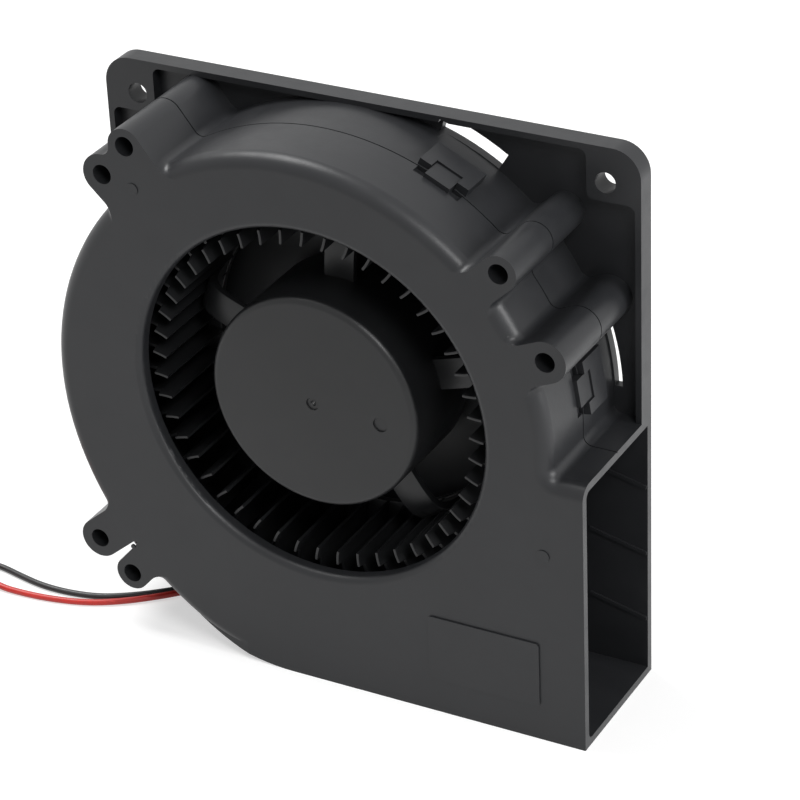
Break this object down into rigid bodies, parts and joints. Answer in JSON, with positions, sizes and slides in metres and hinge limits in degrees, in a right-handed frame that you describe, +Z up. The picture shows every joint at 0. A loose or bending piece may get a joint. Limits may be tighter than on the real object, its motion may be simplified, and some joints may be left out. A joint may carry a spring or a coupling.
{
  "type": "centrifugal blower",
  "caption": "Flat square centrifugal blower: scroll housing in two halves, round inlet, side outlet, forward-curved drum impeller on a brushless motor, two loose leads.",
  "frame": {"origin": "middle of the flat bottom face, below the rotor's axis, at mid depth", "axes": "+X out of the outlet, -Y out of the inlet, +Z up"},
  "size_m": [0.1708, 0.0469, 0.12],
  "materials": {
    "housing_plastic": "moulded glass-filled PBT, fine satin texture",
    "impeller_plastic": "moulded glass-filled PBT, smooth satin",
    "zinc_steel": "zinc-plated steel",
    "bearing_steel": "ground and polished bearing steel",
    "laminated_steel": "stack of punched electrical steel sheets",
    "brass": "turned brass",
    "copper_wire": "enamelled copper wire, wound in layers",
    "bonded_magnet": "rubber-bonded ferrite, dull",
    "insulator_plastic": "moulded nylon",
    "board_laminate": "glass-epoxy board with solder mask",
    "chip_plastic": "moulded epoxy",
    "capacitor_ceramic": "sintered ceramic",
    "solder": "bright solder",
    "black_insulation": "flexible PVC insulation",
    "red_insulation": "flexible PVC insulation",
    "tie_plastic": "nylon tie",
    "connector_plastic": "moulded nylon",
    "tinned_metal": "tinned crimp terminals"
  },
  "bodies": {
    "housing": {"front_cover": "housing_plastic", "rear_frame": "housing_plastic", "case_screws": "zinc_steel", "bearing_tube": "brass", "front_bearing_outer_ring": "bearing_steel", "rear_bearing_outer_ring": "bearing_steel", "front_bearing_balls": "bearing_steel", "rear_bearing_balls": "bearing_steel", "stator_core": "laminated_steel", "front_insulator": "insulator_plastic", "rear_insulator": "insulator_plastic", "stator_coils": "copper_wire", "circuit_board": "board_laminate", "drive_chip": "chip_plastic", "board_capacitor": "capacitor_ceramic", "hall_sensor": "chip_plastic", "solder_joints": "solder", "black_inner_lead": "black_insulation", "red_inner_lead": "red_insulation", "black_lead": "black_insulation", "red_lead": "red_insulation", "black_coil": "black_insulation", "red_coil": "red_insulation", "black_tail": "black_insulation", "red_tail": "red_insulation", "lead_tie": "tie_plastic", "lead_connector": "connector_plastic", "connector_terminals": "tinned_metal"},
    "rotor": {"impeller": "impeller_plastic", "rotor_yoke": "zinc_steel", "rotor_magnet": "bonded_magnet", "hub_bush": "brass", "shaft": "bearing_steel", "shaft_clip": "bearing_steel", "bearing_spacer": "brass", "front_bearing_inner_ring": "bearing_steel", "rear_bearing_inner_ring": "bearing_steel"}
  },
  "joints": [
    {"name": "rotor_spin", "type": "hinge", "parent": "housing", "child": "rotor", "pos_m": [0, 0, 0.065], "axis": [0, -1, 0], "continuous": true}
  ]
}
